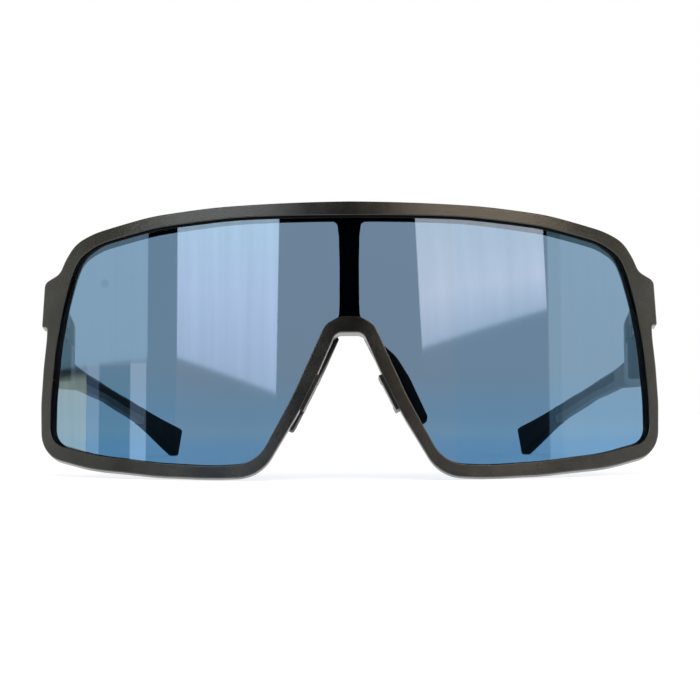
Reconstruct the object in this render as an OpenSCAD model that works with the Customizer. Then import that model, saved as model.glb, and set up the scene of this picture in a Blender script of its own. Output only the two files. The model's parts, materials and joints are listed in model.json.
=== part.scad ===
// Full-rim shield glacier glasses with folding temples and adjustable nose pads.
// They stand on a table, temples open: +X is the wearer's left, +Y runs from the
// lens back to the temple tips, +Z is up, and z = 0 is the table.
// The front is drawn upright (x across, y back, z up) and then leaned back as a whole.

/* [Front] */
// Overall width across the end lugs
front_w = 150; // [146:0.5:154]
// Height of the rim from the lowest edge to the brow
front_h = 64.1; // [63:0.1:66]
// Radius of the wrap that the lens and the rim follow
wrap_r = 100; // [96:1:106]
// Angle by which the front leans back when the glasses stand on a table
lean = 9.3; // [8.5:0.1:10]

/* [Lens] */
// Thickness of the one-piece lens
lens_t = 1.8; // [1.6:0.1:2.0]
// How far the lens edge sits inside the rim's groove
lens_bite = 1.2; // [0.8:0.1:1.3]

/* [Rim] */
// Thickness of the rim in front of the lens
flange_t = 1.1; // [0.9:0.1:1.4]
// Thickness of the rear lip behind the lens
lip_t = 1.2; // [1.0:0.1:1.4]
// Depth of the bridge wall that the rim has over the nose
bridge_t = 6; // [5:0.2:6.2]

/* [Temples] */
// Thickness of the temple arm behind the hinge boss
arm_t = 2.6; // [2.5:0.1:3.0]
// Radius of the inward bow of the temple, seen from above
bow_r = 265; // [250:5:300]
// Depth of the rubber inlay in the temple's inner face
inlay_d = 0.8; // [0.6:0.1:0.8]

/* [Hinges] */
// Radius of the hinge knuckles
knuckle_r = 2.1; // [2.0:0.05:2.1]
// Radius of the hinge screw's shank
screw_r = 0.7; // [0.6:0.05:0.75]
// Thickness of each hinge washer
washer_t = 0.3; // [0.2:0.05:0.4]

/* [Nose pads] */
// Length of each nose pad
pad_len = 24.8; // [22:0.2:25]
// Swing of the wearer's left pad, from straight back towards the lens side
left_swing = 44; // [0:1:44]
// Swing of the wearer's right pad, from straight back towards the lens side
right_swing = 0; // [-4:1:30]

/* [Hidden] */
$fn = 96;

LEFT = 1;
RIGHT = -1;
gap = 0.03;                    // clearance between parts that are fitted or moulded together
arc_step = 9;                  // largest turn, in degrees, between two points of a rounded corner
arc_chord = 4;                 // longest straight piece of a rounded corner
rim_t = flange_t + lens_t + 2 * gap + lip_t;
hw = front_w / 2;
groove_r = wrap_r - flange_t;  // radius at which the lens groove starts
lip_r = wrap_r - rim_t + lip_t; // radius at which the rear lip starts
stage_y = 78.512;              // puts the origin at the middle of the object's depth
stage_z = 1.7;                 // puts the lowest edge of the rim just under the table before it is trimmed

// ---------- outline helpers: a corner is [x, y, radius] ----------
function xy(p) = [p[0], p[1]];
function unit(v) = v / norm(v);
function turn(a, b) = (b - a + 540) % 360 - 180;

function corner(before, c, after, r) =
    let (a = unit(before - c), b = unit(after - c), cosine = a * b)
    (r < 0.02 || cosine < -0.99999) ? [c] :
    let (half = acos(cosine) / 2,
         t = min(r / tan(half), 0.49 * norm(before - c), 0.49 * norm(after - c)),
         arc_r = t * tan(half),
         centre = c + unit(a + b) * arc_r / sin(half),
         from = c + a * t - centre, to = c + b * t - centre,
         start = atan2(from[1], from[0]),
         sweep = turn(start, atan2(to[1], to[0])),
         steps = max(1, ceil(abs(sweep) / arc_step), ceil(arc_r * abs(sweep) * PI / 180 / arc_chord)))
    [for (i = [0:steps]) centre + arc_r * [cos(start + sweep * i / steps), sin(start + sweep * i / steps)]];

function rounded(vs) = let (n = len(vs))
    [for (i = [0:n - 1]) each corner(xy(vs[(i + n - 1) % n]), xy(vs[i]), xy(vs[(i + 1) % n]), vs[i][2])];

// Moves every edge of a clockwise outline outwards by d
function grown(vs, d) = let (n = len(vs))
    [for (i = [0:n - 1])
        let (e = unit(xy(vs[i]) - xy(vs[(i + n - 1) % n])),
             f = unit(xy(vs[(i + 1) % n]) - xy(vs[i])),
             en = [-e[1], e[0]], fn = [-f[1], f[0]],
             bulge = e[0] * f[1] - e[1] * f[0] < 0 ? d : -d,
             p = xy(vs[i]) + (en + fn) * d / (1 + en * fn))
        [p[0], p[1], vs[i][2] < 0.02 ? 0 : max(0.1, vs[i][2] + bulge)]];

// Closes a half outline that starts and ends on the centre line
function both_halves(half) =
    concat(half, [for (i = [len(half) - 2:-1:1]) [-half[i][0], half[i][1], half[i][2]]]);

// A strip of height h along a polyline, as a polygon
function strip(line, h) = concat([for (p = line) p + [0, h / 2]], [for (p = backwards(line)) p - [0, h / 2]]);

// ---------- front outlines, seen from the front, clockwise from the brow ----------
lug_top = front_h - 13.2;
lug_bottom = front_h - 24.0;
arch_top = 36.9;
brow_bend = 0.42 * hw;         // where the brow and the lower edge start to curve

rim_half = [
    [0, front_h, 0], [brow_bend, front_h - 0.3, 200], [hw - 28, front_h - 1.05, 60],
    [hw - 13.5, front_h - 3.2, 22], [hw - 8.8, front_h - 4.95, 9], [hw - 6.1, front_h - 8.6, 20],
    [hw - 4.75, lug_top + 1.6, 3.2], [hw - 0.62, lug_top + 0.12, 1.6], [hw + 0.05, lug_bottom, 0.25],
    [hw - 1.4, lug_bottom - 0.1, 1.2], [hw - 1.3, lug_bottom - 3.3, 20], [hw - 0.55, 30, 60],
    [hw, 21, 40], [hw - 0.3, 8.6, 8.2], [0.82 * hw, 3.75, 50], [0.6 * hw, 0.85, 60],
    [brow_bend, -0.4, 80], [20.8, -0.3, 14], [12.1, 14, 60], [7.6, 23, 60],
    [3.2, arch_top - 3.85, 2.2], [0, arch_top - 3.85, 0]
];
aperture_half = [
    [0, front_h - 3.3, 0], [0.36 * hw, front_h - 3.1, 150], [hw - 29, front_h - 3.95, 60],
    [hw - 15, front_h - 6.0, 14], [hw - 9.8, front_h - 8.6, 8], [hw - 7.7, lug_top + 0.1, 20],
    [hw - 5.8, lug_top - 6.3, 60], [hw - 3.8, 34, 60], [hw - 2.7, 22, 60],
    [hw - 2.6, 11.2, 5.5], [0.8 * hw, 6.9, 50], [0.6 * hw, 3.95, 80],
    [brow_bend, 2.4, 60], [21.7, 2.8, 8.5], [13.4, 18, 60],
    [5.7, arch_top - 1.9, 4], [2.2, arch_top, 4], [0, arch_top, 0]
];
// The opening in the rear lip on one side; its first and last corners leave the centre rib standing
window = [
    [2.75, front_h - 4.15, 0.8], [0.36 * hw, front_h - 4.0, 150], [hw - 29.2, front_h - 5.0, 60],
    [hw - 15.4, front_h - 6.9, 14], [hw - 10.6, front_h - 9.1, 8], [hw - 8.8, lug_top - 0.4, 20],
    [hw - 6.9, lug_top - 6.6, 60], [hw - 4.9, 33.8, 60], [hw - 3.8, 22, 60],
    [hw - 3.7, 11.8, 5], [0.8 * hw, 7.5, 50], [0.6 * hw, 4.5, 80],
    [brow_bend, 2.95, 60], [21.5, 3.3, 8.5], [13, 18.2, 60],
    [5.3, arch_top - 1.5, 3.4], [2.6, arch_top + 0.5, 0.3], [2.25, 49, 30]
];
// Half outline of the deeper wall over the nose
bridge = [
    [0, arch_top - 1.9, 0], [2.7, arch_top - 1.9, 2.2], [5.6, 30.4, 0.4], [4.55, 30, 0.3],
    [3.2, arch_top - 3.85, 2.2], [0, arch_top - 3.85, 0]
];

// ---------- hinge and temple places, for the wearer's left side ----------
hinge_x = hw - 3.5;
hinge_y = 44.6;
root_y = hinge_y - knuckle_r - 0.2;     // rear face of the rim's end piece
shoulder_y = hinge_y + knuckle_r + 0.2; // front face of the temple beside the hinge
ear_low = [38.6, 41.6];
ear_high = [46.0, 49.0];
tongue_z = [ear_low[1] + washer_t + 2 * gap, ear_high[0] - washer_t - 2 * gap];
insert_h = 2.2;
head_h = 0.9;
grip_y = 128;                            // where the rubber sleeve starts
tip_y = 152.5;

temple_side = [ // [y, z, radius]
    [41.8, 28.1, 1.2], [41.8, 37.9, 0.6], [shoulder_y, 37.9, 0.3], [shoulder_y, 48.5, 0.8],
    [49.4, 46.6, 3], [53.5, 37.8, 8], [60, 35.6, 20], [92, 35.7, 150], [118, 34.4, 100],
    [tip_y, 30.5, 1.6], [tip_y - 2.4, 22.45, 0.6], [129, 29.3, 80], [101, 31.5, 60],
    [77, 30.9, 60], [56, 28.2, 30]
];
inlay_side = [
    [76.5, 35.1, 0.6], [101, 34.8, 150], [grip_y + 2, 33.2, 0], [grip_y + 2, 30.6, 0],
    [101, 33, 150], [76.5, 32.7, 0.6]
];
core_line = [[62, 31.8], [77, 32.8], [101, 33], [grip_y, 31.5], [143, 28.9]];
tenon_line = [[126, 31.7], [146, 28.4]];

// Inner face of the temple at depth y, and its thickness there
function inner_x(y) = let (d = max(0, y - 45)) hw - 5 - (bow_r - sqrt(bow_r * bow_r - d * d));
function thick(y) = arm_t + 1.1 * (1 - min(1, max(0, (y - 50) / 28)));
function stations(y0, y1) =
    let (steps = ceil((y1 - y0) / 5)) [for (i = [0:steps]) y0 + i * (y1 - y0) / steps];
function backwards(list) = [for (i = [len(list) - 1:-1:0]) list[i]];
// Plans of a layer of the temple, and of its whole thickness, seen from above
function layer(from, to, y0, y1) = let (ys = stations(y0, y1))
    concat([for (y = ys) [inner_x(y) + from, y]], [for (y = backwards(ys)) [inner_x(y) + to, y]]);
function whole(y0, y1) = let (ys = stations(y0, y1))
    concat([for (y = ys) [inner_x(y), y]], [for (y = backwards(ys)) [inner_x(y) + thick(y), y]]);

// ---------- nose pad places, in the frame of one leg of the nose opening ----------
leg_tilt = 26.6;
leg_at = [9.4, 0, 19.4];        // a point on the leg's nose-side wall
pin_at = [0.95, 6.9];           // the pad's pivot: across from the wall, and back
pin_r = 0.45;
clip_h = 9;
lug_h = 1.5;
barrel_h = clip_h - 2 * lug_h - 0.1;
pad_t = 2.0;
pad_foot = -9.3;                // lower end of the pad, along the leg from the pivot
pad_head = pad_foot + pad_len;
pad_side = [ // [back from the pivot, along the leg, radius]
    [0.3, pad_foot, 0.8], [0.3, pad_head - 0.5, 0.8], [1.9, pad_head, 1], [6.8, pad_head - 7.5, 6],
    [7.6, pad_head - 13.5, 12], [7, pad_foot + 1.2, 1.2], [5.6, pad_foot, 1.2]
];

// ---------- placing ----------
module stand() translate([0, -stage_y, stage_z]) rotate([-lean, 0, 0]) children();
module on_side(side) { if (side == LEFT) children(); else mirror([1, 0, 0]) children(); }
module above_table() difference() {
    children();
    translate([-hw - 10, -100, -20]) cube([2 * hw + 20, 200, 20]);
}
module from_front(points, depth = 60)
    translate([0, depth, 0]) rotate([90, 0, 0]) linear_extrude(depth) polygon(points);
module from_side(points) rotate([90, 0, 90]) linear_extrude(hw + 5) polygon(points);
module from_above(points) linear_extrude(80) polygon(points);
module upright(x, y, z, r) translate([x, y, z[0]]) cylinder(r = r, h = z[1] - z[0]);
module block(x, y, z) translate([x[0], y[0], z[0]]) cube([x[1] - x[0], y[1] - y[0], z[1] - z[0]]);

// The part of a front outline that lies between two radii of the wrap
module wrapped(points, r_out, r_in) intersection() {
    from_front(points);
    translate([0, wrap_r, -5]) difference() {
        cylinder(r = r_out, h = 90, $fn = 240);
        translate([0, 0, -1]) cylinder(r = r_in, h = 92, $fn = 240);
    }
}
module leg_frame(side) on_side(side) translate(leg_at) rotate([0, -leg_tilt, 0]) children();
module pad_frame(side, swing)
    leg_frame(side) translate([pin_at[0], pin_at[1], 0]) rotate([0, 0, -swing]) children();

// ---------- front ----------
module end_piece(side) on_side(side) {
    intersection() {
        from_front(rounded(both_halves(rim_half)));
        union() {
            block([hw - 5.4, hw - 1.8], [33.5, root_y], [ear_low[0], lug_top + 2]);
            block([hw - 1.9, hw + 2], [33.5, root_y], [lug_bottom + 1.9, lug_top + 2]);
        }
    }
    for (z = [ear_low, ear_high]) {
        upright(hinge_x, hinge_y, z, knuckle_r);
        block([hinge_x - knuckle_r, hinge_x + knuckle_r], [root_y - 1, hinge_y], z);
        block([hinge_x, hinge_x + knuckle_r], [hinge_y - 0.1, hinge_y + knuckle_r], z);
    }
}

module hinge_bores(side) on_side(side) {
    upright(hinge_x, hinge_y, [ear_low[0] - 1, ear_high[1] + 1], screw_r + 0.05);
    upright(hinge_x, hinge_y, [ear_high[1] - head_h, ear_high[1] + 1], 1.3);
    upright(hinge_x, hinge_y, [ear_low[0] - 1, ear_low[0] + insert_h], 1.2 + gap);
}

module clip_pocket(side) leg_frame(side) block([-1, 0.95], [2.4, 4.3], [-3.4 - gap, 3.4 + gap]);

module front_frame() color([0.20, 0.195, 0.19]) above_table() stand() difference() {
    union() {
        wrapped(rounded(both_halves(rim_half)), wrap_r, wrap_r - rim_t);
        wrapped(rounded(both_halves(bridge)), wrap_r - rim_t + 0.5, wrap_r - bridge_t);
        end_piece(LEFT);
        end_piece(RIGHT);
    }
    wrapped(rounded(both_halves(aperture_half)), wrap_r + 1, groove_r - 0.5);
    wrapped(rounded(grown(both_halves(aperture_half), lens_bite + gap)), groove_r, lip_r);
    for (side = [LEFT, RIGHT]) {
        on_side(side) wrapped(rounded(window), lip_r + 0.5, wrap_r - rim_t - 2);
        hinge_bores(side);
        clip_pocket(side);
    }
}

module lens() color([0.36, 0.55, 0.75, 0.6]) stand()
    wrapped(rounded(grown(both_halves(aperture_half), lens_bite)), groove_r - gap, groove_r - gap - lens_t);

// ---------- temples ----------
module temple_body() intersection() {
    from_side(rounded(temple_side));
    from_above(whole(41, tip_y + 1));
}

module sleeve_zone(inset) block([30, hw], [grip_y + inset, tip_y + 2], [15, 45]);

module inlay_zone(extra) intersection() {
    from_side(rounded(grown(inlay_side, extra)));
    from_above(layer(-1, inlay_d + extra, 76, grip_y + 3));
}

module tenon(extra) intersection() {
    from_side(strip(tenon_line, 2.6 + 2 * extra));
    from_above(layer(0.65 - extra, 2.2 + extra, 126, 146 + extra));
}

module core(extra) intersection() {
    from_side(strip(core_line, 1.4 + 2 * extra));
    from_above(layer(1.15 - extra, 1.85 + extra, 62 - extra, 143 + extra));
}

module temple(side) color([0.20, 0.195, 0.19]) above_table() stand() on_side(side) difference() {
    union() {
        difference() {
            temple_body();
            sleeve_zone(0);
        }
        intersection() {
            from_side(rounded(temple_side));
            block([hw - 6.4, hw - 3], [shoulder_y, 51], [27, 46.2]);
        }
        tenon(0);
        upright(hinge_x, hinge_y, tongue_z, knuckle_r);
        block([hinge_x - knuckle_r, hinge_x + knuckle_r], [hinge_y, shoulder_y + 1], tongue_z);
    }
    inlay_zone(0);
    core(gap);
    upright(hinge_x, hinge_y, [tongue_z[0] - 1, tongue_z[1] + 1], 1.15 + gap);
}

module ear_grip(side) color([0.03, 0.03, 0.03]) above_table() stand() on_side(side) difference() {
    union() {
        intersection() {
            temple_body();
            sleeve_zone(gap);
        }
        intersection() {
            temple_body();
            inlay_zone(-gap);
        }
    }
    tenon(gap);
    core(gap);
}

module core_strip(side) color("silver") stand() on_side(side) core(0);

// ---------- hinges ----------
module hinge_screw(side) color("silver") stand() on_side(side) difference() {
    union() {
        upright(hinge_x, hinge_y, [ear_low[0] + 0.1, ear_high[1] - head_h + 0.1], screw_r);
        upright(hinge_x, hinge_y, [ear_high[1] - head_h + gap, ear_high[1] - 0.15], 1.25);
    }
    block([hinge_x - 2, hinge_x + 2], [hinge_y - 0.15, hinge_y + 0.15], [ear_high[1] - 0.5, ear_high[1] + 1]);
}

module ring(z, r_out, r_in) difference() {
    upright(hinge_x, hinge_y, z, r_out);
    upright(hinge_x, hinge_y, [z[0] - 1, z[1] + 1], r_in);
}

module hinge_bush(side) color("silver") stand() on_side(side) ring(tongue_z, 1.15, screw_r + 0.04);

module hinge_insert(side) color("goldenrod") stand() on_side(side)
    ring([ear_low[0], ear_low[0] + insert_h - gap], 1.2, screw_r + gap);

module hinge_washers(side) color("white") stand() on_side(side)
    for (z = [ear_low[1] + gap, ear_high[0] - washer_t - gap]) ring([z, z + washer_t], 1.9, screw_r + 0.05);

// ---------- nose pads ----------
module nose_clip(side) color([0.06, 0.06, 0.06]) stand() leg_frame(side) difference() {
    union() {
        block([-0.75, -gap], [1.6, 5.9], [-clip_h / 2, clip_h / 2]);
        block([-0.5, 0.9], [2.5, 4.2], [-3.4, 3.4]);
        for (z = [-clip_h / 2, clip_h / 2 - lug_h]) {
            block([-0.75, pin_at[0]], [5.2, pin_at[1] + 1.1], [z, z + lug_h]);
            upright(pin_at[0], pin_at[1], [z, z + lug_h], 1.1);
        }
    }
    upright(pin_at[0], pin_at[1], [-clip_h, clip_h], pin_r + gap);
}

module nose_pin(side) color("silver") stand() leg_frame(side)
    upright(pin_at[0], pin_at[1], [-clip_h / 2 + 0.1, clip_h / 2 - 0.1], pin_r);

module pad_core(extra) {
    block([-0.7 - extra, 0.1 + extra], [0.6, 5.2 + extra], [-barrel_h / 2 - extra, barrel_h / 2 + extra]);
    block([-0.7 - extra, 0.1 + extra], [3 - extra, 5.2 + extra], [-5.5 - extra, 4 + extra]);
}

module nose_pad_core(side, swing) color([0.06, 0.06, 0.06]) stand() pad_frame(side, swing) difference() {
    union() {
        pad_core(0);
        upright(0, 0, [-barrel_h / 2, barrel_h / 2], 1.1);
    }
    upright(0, 0, [-clip_h, clip_h], pin_r + gap);
}

module nose_pad(side, swing) color([0.02, 0.02, 0.02]) stand() pad_frame(side, swing) difference() {
    translate([-pad_t / 2 - 0.35, 0, 0]) rotate([90, 0, 90]) linear_extrude(pad_t) polygon(rounded(pad_side));
    block([-5, 5], [-3, 2.6], [-clip_h / 2 - 0.4, clip_h / 2 + 0.4]);
    pad_core(gap);
}

front_frame();
lens();
temple(LEFT);  // temple_left
temple(RIGHT);  // temple_right
ear_grip(LEFT);  // ear_grip_left
ear_grip(RIGHT);  // ear_grip_right
core_strip(LEFT);  // core_strip_left
core_strip(RIGHT);  // core_strip_right
hinge_screw(LEFT);  // hinge_screw_left
hinge_screw(RIGHT);  // hinge_screw_right
hinge_bush(LEFT);  // hinge_bush_left
hinge_bush(RIGHT);  // hinge_bush_right
hinge_insert(LEFT);  // hinge_insert_left
hinge_insert(RIGHT);  // hinge_insert_right
hinge_washers(LEFT);  // hinge_washers_left
hinge_washers(RIGHT);  // hinge_washers_right
nose_clip(LEFT);  // nose_clip_left
nose_clip(RIGHT);  // nose_clip_right
nose_pin(LEFT);  // nose_pin_left
nose_pin(RIGHT);  // nose_pin_right
nose_pad_core(LEFT, left_swing);  // nose_pad_core_left
nose_pad_core(RIGHT, right_swing);  // nose_pad_core_right
nose_pad(LEFT, left_swing);  // nose_pad_left
nose_pad(RIGHT, right_swing);  // nose_pad_right
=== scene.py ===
"""Looks for the glacier glasses: finished meshes, procedural materials, light and camera.

Lengths are in millimetres in the front's own axes: x across, n back and v up the front
plane. place() turns them into the row frame in metres. Only the lens, rim, temples, grips
and pads are rebuilt; the hinge and clip hardware is the CAD's own with better materials.
"""

import json
from math import acos, atan2, ceil, cos, exp, inf, pi, radians, sin, sqrt, tan

import bmesh
import bpy
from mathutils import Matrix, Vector, geometry


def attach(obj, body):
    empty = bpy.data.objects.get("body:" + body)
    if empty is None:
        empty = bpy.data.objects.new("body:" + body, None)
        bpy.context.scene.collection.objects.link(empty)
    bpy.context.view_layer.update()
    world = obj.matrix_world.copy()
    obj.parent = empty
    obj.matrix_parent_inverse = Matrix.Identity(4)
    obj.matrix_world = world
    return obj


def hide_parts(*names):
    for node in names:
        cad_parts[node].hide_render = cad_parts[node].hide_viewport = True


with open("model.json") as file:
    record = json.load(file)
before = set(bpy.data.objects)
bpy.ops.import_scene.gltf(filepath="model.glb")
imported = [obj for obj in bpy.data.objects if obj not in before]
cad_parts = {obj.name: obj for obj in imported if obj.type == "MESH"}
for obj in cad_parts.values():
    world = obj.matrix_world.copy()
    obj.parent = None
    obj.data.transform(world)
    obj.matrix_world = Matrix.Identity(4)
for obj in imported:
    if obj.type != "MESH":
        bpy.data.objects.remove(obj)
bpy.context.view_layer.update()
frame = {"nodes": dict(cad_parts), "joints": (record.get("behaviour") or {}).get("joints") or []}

MM = 0.001
LEFT, RIGHT = 1, -1
SIDE_NAME = {LEFT: "left", RIGHT: "right"}

# ---------- the front's axes, from the hinge of the left temple ----------
HALF_W = 75.0  # half the width of the rim
RIM_H = 64.1   # its height
HINGE = (HALF_W - 3.5, 44.6)  # across and back
HINGE_MID = 43.8              # height of its middle
LEFT_FOLD = next(joint for joint in frame["joints"] if joint["name"] == "temple_left_fold")
ACROSS = Vector((1, 0, 0))
UP = Vector(LEFT_FOLD["axis"]).normalized()
BACK = UP.cross(ACROSS)
ORIGIN = Vector(LEFT_FOLD["pos_m"]) - MM * (HINGE[0] * ACROSS + HINGE[1] * BACK + HINGE_MID * UP)


def place(x, n, v):
    return ORIGIN + MM * (x * ACROSS + n * BACK + v * UP)


# ---------- outlines: a corner is (x, v, radius), clockwise seen from the front ----------
ARC_STEP = radians(4)  # largest turn between two points of a rounded corner
ARC_CHORD = 1.2             # longest straight piece of a rounded corner
SHARP = 0.02                # a smaller radius than this is left sharp
STRAIGHT = -0.99999         # cosine of a corner that hardly turns
SIDE_SHARE = 0.49           # how much of a side one rounded corner may use


def corner_points(before, point, after, radius):
    """The rounded corner at point, as a list of 2-D points."""
    a, b = (before - point).normalized(), (after - point).normalized()
    cosine = max(-1.0, min(1.0, a.dot(b)))
    if radius < SHARP or cosine < STRAIGHT:
        return [point]
    half = acos(cosine) / 2
    reach = SIDE_SHARE * min((before - point).length, (after - point).length)
    t = min(radius / tan(half), reach)
    radius = t * tan(half)
    centre = point + (a + b).normalized() * radius / sin(half)
    start = point + a * t - centre
    end = point + b * t - centre
    sweep = atan2(start.x * end.y - start.y * end.x, start.dot(end))
    steps = max(2, ceil(abs(sweep) / ARC_STEP), ceil(radius * abs(sweep) / ARC_CHORD))
    steps += steps % 2
    turn = [sweep * i / steps for i in range(steps + 1)]
    return [
        centre + Vector((start.x * cos(w) - start.y * sin(w),
                         start.x * sin(w) + start.y * cos(w)))
        for w in turn
    ]


class Path:
    """A rounded line through corners, with a mark at the middle of each corner."""

    def __init__(self, corners):
        flat = [Vector(c[:2]) for c in corners]
        self.points, self.marks = [flat[0]], [0]
        for i in range(1, len(flat) - 1):
            arc = corner_points(flat[i - 1], flat[i], flat[i + 1], corners[i][2])
            self.marks.append(len(self.points) + len(arc) // 2)
            self.points += arc
        self.marks.append(len(self.points))
        self.points.append(flat[-1])
        self.run = [0.0]
        for a, b in zip(self.points, self.points[1:]):
            self.run.append(self.run[-1] + (b - a).length)

    def at(self, distance):
        """The point at a distance along the line."""
        distance = min(max(distance, 0.0), self.run[-1])
        lo, hi = 0, len(self.run) - 1
        while hi - lo > 1:
            mid = (lo + hi) // 2
            if self.run[mid] <= distance:
                lo = mid
            else:
                hi = mid
        span = self.run[hi] - self.run[lo]
        share = (distance - self.run[lo]) / span if span else 0.0
        return self.points[lo].lerp(self.points[hi], share)

    def between(self, first, last, count):
        """count points from mark first up to, not including, mark last."""
        a, b = self.run[self.marks[first]], self.run[self.marks[last]]
        return [self.at(a + (b - a) * i / count) for i in range(count)]

    def length(self, first, last):
        return self.run[self.marks[last]] - self.run[self.marks[first]]


LUG_TOP = RIM_H - 13.2  # the lug at each side, which carries the hinge
LUG_LOW = RIM_H - 24.0
ARCH_V = 36.9           # top of the arch that the aperture makes over the nose
BEND_X = 0.42 * HALF_W
RIM_OUTER = Path([
    (0, RIM_H, 0), (BEND_X, RIM_H - 0.3, 200), (HALF_W - 28, RIM_H - 1.05, 60),
    (HALF_W - 13.5, RIM_H - 3.2, 22), (HALF_W - 8.8, RIM_H - 4.95, 9), (HALF_W - 6.1, RIM_H - 8.6, 20),
    (HALF_W - 4.75, LUG_TOP + 1.6, 3.2), (HALF_W - 0.62, LUG_TOP + 0.12, 1.6), (HALF_W + 0.05, LUG_LOW, 0.5),
    (HALF_W - 1.4, LUG_LOW - 0.1, 1.2), (HALF_W - 1.3, LUG_LOW - 3.3, 20), (HALF_W - 0.55, 30, 60),
    (HALF_W, 21, 40), (HALF_W - 0.3, 8.6, 8.2), (0.82 * HALF_W, 3.75, 50), (0.6 * HALF_W, 0.85, 60),
    (BEND_X, -0.4, 80), (20.8, -0.3, 14), (12.1, 14, 60), (7.6, 23, 60),
    (3.2, ARCH_V - 3.85, 2.2), (0, ARCH_V - 3.85, 0),
])
APERTURE = Path([
    (0, RIM_H - 3.3, 0), (0.36 * HALF_W, RIM_H - 3.1, 150), (HALF_W - 29, RIM_H - 3.95, 60),
    (HALF_W - 15, RIM_H - 6.0, 14), (HALF_W - 9.8, RIM_H - 8.6, 8), (HALF_W - 7.7, LUG_TOP + 0.1, 20),
    (HALF_W - 5.8, LUG_TOP - 6.3, 60), (HALF_W - 3.8, 34, 60), (HALF_W - 2.7, 22, 60),
    (HALF_W - 2.6, 11.2, 5.5), (0.8 * HALF_W, 6.9, 50), (0.6 * HALF_W, 3.95, 80),
    (BEND_X, 2.4, 60), (21.7, 2.8, 8.5), (13.4, 18, 60), (5.7, ARCH_V - 1.9, 4), (2.2, ARCH_V, 4),
    (0, ARCH_V, 0),
])
REAR_OPENING = Path([
    (0, RIM_H - 4.15, 0), (0.36 * HALF_W, RIM_H - 4.0, 150), (HALF_W - 29.2, RIM_H - 5.0, 60),
    (HALF_W - 15.4, RIM_H - 6.9, 14), (HALF_W - 10.6, RIM_H - 9.1, 8), (HALF_W - 8.8, LUG_TOP - 0.4, 20),
    (HALF_W - 6.9, LUG_TOP - 6.6, 60), (HALF_W - 4.9, 33.8, 60), (HALF_W - 3.8, 22, 60),
    (HALF_W - 3.7, 11.8, 5), (0.8 * HALF_W, 7.5, 50), (0.6 * HALF_W, 4.5, 80),
    (BEND_X, 2.95, 60), (21.5, 3.3, 8.5), (13, 18.2, 60), (5.3, ARCH_V - 1.5, 3.4), (2.2, ARCH_V + 0.5, 3),
    (0, ARCH_V + 0.5, 0),
])
# Corners that lie opposite each other on the three outlines
OUTER_MARKS = (0, 2, 4, 6, 11, 12, 13, 15, 17, 18, 20, 21)
INNER_MARKS = (0, 2, 4, 5, 7, 8, 9, 11, 13, 14, 15, 17)
SAMPLE = 0.4  # longest step along the rim's outer edge


def full_loop(path, marks):
    """Both halves of an outline, with as many points between two marks as the rim's outer edge needs."""
    half = []
    for k in range(len(marks) - 1):
        count = ceil(RIM_OUTER.length(OUTER_MARKS[k], OUTER_MARKS[k + 1]) / SAMPLE)
        half += path.between(marks[k], marks[k + 1], count)
    half.append(path.points[-1])
    return half + [Vector((-p.x, p.y)) for p in reversed(half[1:-1])]


HAIR = 1e-4            # keeps two edges from falling on each other
TIGHT_SHARE = 0.8      # how far into a tight corner's radius an edge may move
SPREAD_PASSES = 30     # how widely a tight corner eases its neighbours
SPREAD_SLOPE = 0.002


def moved(loop, distance):
    """A closed clockwise loop moved outwards by distance, and less where a corner is too tight for it."""
    count = len(loop)
    edges = [loop[(i + 1) % count] - loop[i] for i in range(count)]
    reach, normals = [], []
    for i in range(count):
        e, f = edges[i - 1], edges[i]
        turn = atan2(e.x * f.y - e.y * f.x, e.dot(f))
        tangent = (e.normalized() + f.normalized()).normalized()
        normals.append(Vector((-tangent.y, tangent.x)))
        tight = turn * distance > 0 and abs(turn) > 1e-6
        radius = (e.length + f.length) / 2 / abs(turn) if tight else inf
        reach.append(min(abs(distance), TIGHT_SHARE * radius))
    for _ in range(SPREAD_PASSES):
        reach = [min(reach[i], (reach[i - 1] + reach[i] + reach[(i + 1) % count]) / 3 + SPREAD_SLOPE)
                 for i in range(count)]
    sign = 1 if distance > 0 else -1
    return [p + n * sign * r for p, n, r in zip(loop, normals, reach)]


# ---------- mesh helpers ----------
def add_object(name, data):
    holder = bpy.data.objects.new(name, data)
    bpy.context.scene.collection.objects.link(holder)
    return holder


def face_outwards(data, weld=0.0):
    """Smooth shading and faces that look outwards, once points closer than weld are joined."""
    bm = bmesh.new()
    bm.from_mesh(data)
    if weld:
        bmesh.ops.remove_doubles(bm, verts=bm.verts, dist=weld)
    bmesh.ops.recalc_face_normals(bm, faces=bm.faces)
    bm.to_mesh(data)
    bm.free()
    data.shade_smooth()


def mesh_object(name, vertices, faces):
    """An object made of points and faces."""
    data = bpy.data.meshes.new(name)
    data.from_pydata([tuple(v) for v in vertices], [], faces)
    data.validate()
    face_outwards(data)
    return add_object(name, data)


def band(a, b, width):
    """Faces between two closed rows of points, whose first points are a and b."""
    return [(a + i, a + (i + 1) % width, b + (i + 1) % width, b + i) for i in range(width)]


def loft(name, rows, wrap=False, caps=False):
    """A skin over closed rows of points. wrap joins the last row to the first; caps fill both ends."""
    width = len(rows[0])
    vertices = [p for row in rows for p in row]
    faces = []
    for r in range(len(rows) if wrap else len(rows) - 1):
        faces += band(r * width, ((r + 1) % len(rows)) * width, width)
    if caps:
        faces.append(tuple(reversed(range(width))))
        faces.append(tuple(range((len(rows) - 1) * width, len(rows) * width)))
    return mesh_object(name, vertices, faces)


def finish_piece(piece, body, slot, material, *nodes):
    """Gives a piece its material and body, and puts it in the place of the named CAD nodes. slot is not
    used.
    """
    piece.data.materials.clear()
    piece.data.materials.append(material)
    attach(piece, body)
    if nodes:
        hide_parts(*nodes)


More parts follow.
